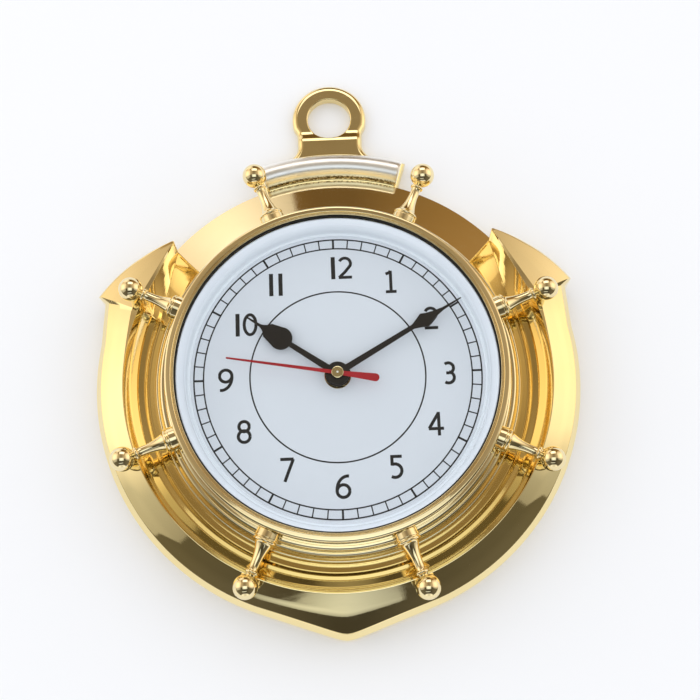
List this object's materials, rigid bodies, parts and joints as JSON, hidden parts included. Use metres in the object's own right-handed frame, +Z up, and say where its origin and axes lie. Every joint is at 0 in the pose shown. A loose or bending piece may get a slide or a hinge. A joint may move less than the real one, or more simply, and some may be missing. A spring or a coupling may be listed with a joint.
{
  "type": "wall clock",
  "caption": "Brass wall clock: a porthole case with small ship's-wheel handles, set in an anchor that hangs by its eye, with a glazed dial and a quartz movement.",
  "frame": {"origin": "centre of the hanging eye's hole, on the wall plane", "axes": "+Z up to the top of the eye, the dial faces -Y, the wall is the plane y = 0 behind it, +X to the right seen from the front"},
  "size_m": [0.234, 0.042, 0.2881],
  "materials": {
    "polished_brass": "mirror polished, lacquered, with faint fine scratches",
    "plain_brass": "machined",
    "clear_glass": "clear, bevelled edge",
    "black_rubber": "matte",
    "white_plastic": "gloss white",
    "dial_white": "matte white paint with printed numbers and minute track",
    "black_enamel": "satin black",
    "red_enamel": "satin red",
    "black_plastic": "fine moulded texture",
    "copper_wire": "enamelled winding wire",
    "soft_iron": "stamped",
    "green_board": "solder mask",
    "bright_steel": "nickel plated",
    "grey_magnet": "sintered",
    "ivory_acetal": "moulded acetal",
    "cell_jacket": "plain printed jacket with bright ends",
    "screw_steel": "slotted brass screw"
  },
  "bodies": {
    "case": {"anchor_casting": "polished_brass", "anchor_stock": "polished_brass", "porthole_body": "polished_brass", "bezel_ring": "polished_brass", "wheel_handle_1": "polished_brass", "wheel_handle_2": "polished_brass", "wheel_handle_3": "polished_brass", "wheel_handle_4": "polished_brass", "wheel_handle_5": "polished_brass", "wheel_handle_6": "polished_brass", "wheel_handle_7": "polished_brass", "wheel_handle_8": "polished_brass", "glass": "clear_glass", "glass_gasket": "black_rubber", "dial_surround": "white_plastic", "dial_plate": "dial_white", "movement_case": "black_plastic", "movement_cover": "black_plastic", "threaded_bushing": "plain_brass", "centre_nut": "black_enamel", "dial_washer": "plain_brass", "rubber_washer": "black_rubber", "coil": "copper_wire", "stator": "soft_iron", "circuit_board": "green_board", "quartz_can": "bright_steel", "contact_plus": "bright_steel", "contact_minus": "bright_steel", "body_screws": "screw_steel", "stock_screws": "screw_steel"},
    "seconds": {"seconds_wheel": "ivory_acetal", "second_hand": "red_enamel", "hand_cap": "polished_brass"},
    "third": {"third_wheel": "ivory_acetal"},
    "rotor": {"rotor": "grey_magnet"},
    "minutes": {"centre_wheel": "ivory_acetal", "minute_hand": "black_enamel"},
    "motion": {"motion_wheel": "ivory_acetal"},
    "hours": {"hour_wheel": "ivory_acetal", "hour_hand": "black_enamel"},
    "knob": {"setting_knob": "black_plastic"},
    "battery": {"battery": "cell_jacket"}
  },
  "joints": [
    {"name": "second_spin", "type": "hinge", "parent": "case", "child": "seconds", "pos_m": [0, 0, -0.1445], "axis": [0, 1, 0], "continuous": true},
    {"name": "third_spin", "type": "hinge", "parent": "case", "child": "third", "pos_m": [-0.0063, 0, -0.1336], "axis": [0, 1, 0], "continuous": true},
    {"name": "rotor_spin", "type": "hinge", "parent": "case", "child": "rotor", "pos_m": [-0.0021, 0, -0.1263], "axis": [0, 1, 0], "continuous": true},
    {"name": "minute_spin", "type": "hinge", "parent": "case", "child": "minutes", "pos_m": [0, 0, -0.1445], "axis": [0, 1, 0], "continuous": true},
    {"name": "motion_spin", "type": "hinge", "parent": "case", "child": "motion", "pos_m": [0.01039, 0, -0.1385], "axis": [0, 1, 0], "continuous": true},
    {"name": "hour_spin", "type": "hinge", "parent": "case", "child": "hours", "pos_m": [0, 0, -0.1445], "axis": [0, 1, 0], "continuous": true},
    {"name": "knob_spin", "type": "hinge", "parent": "case", "child": "knob", "pos_m": [0.02239, 0, -0.1385], "axis": [0, 1, 0], "continuous": true},
    {"name": "battery_slide", "type": "slide", "parent": "case", "child": "battery", "axis": [0, 1, 0], "range_m": [0, 0.03]}
  ],
  "couplings": [
    {"joint": "third_spin", "follows": "second_spin", "ratio": -5},
    {"joint": "rotor_spin", "follows": "second_spin", "ratio": 30},
    {"joint": "motion_spin", "follows": "minute_spin", "ratio": -0.33333},
    {"joint": "hour_spin", "follows": "minute_spin", "ratio": 0.083333},
    {"joint": "knob_spin", "follows": "minute_spin", "ratio": 1}
  ]
}
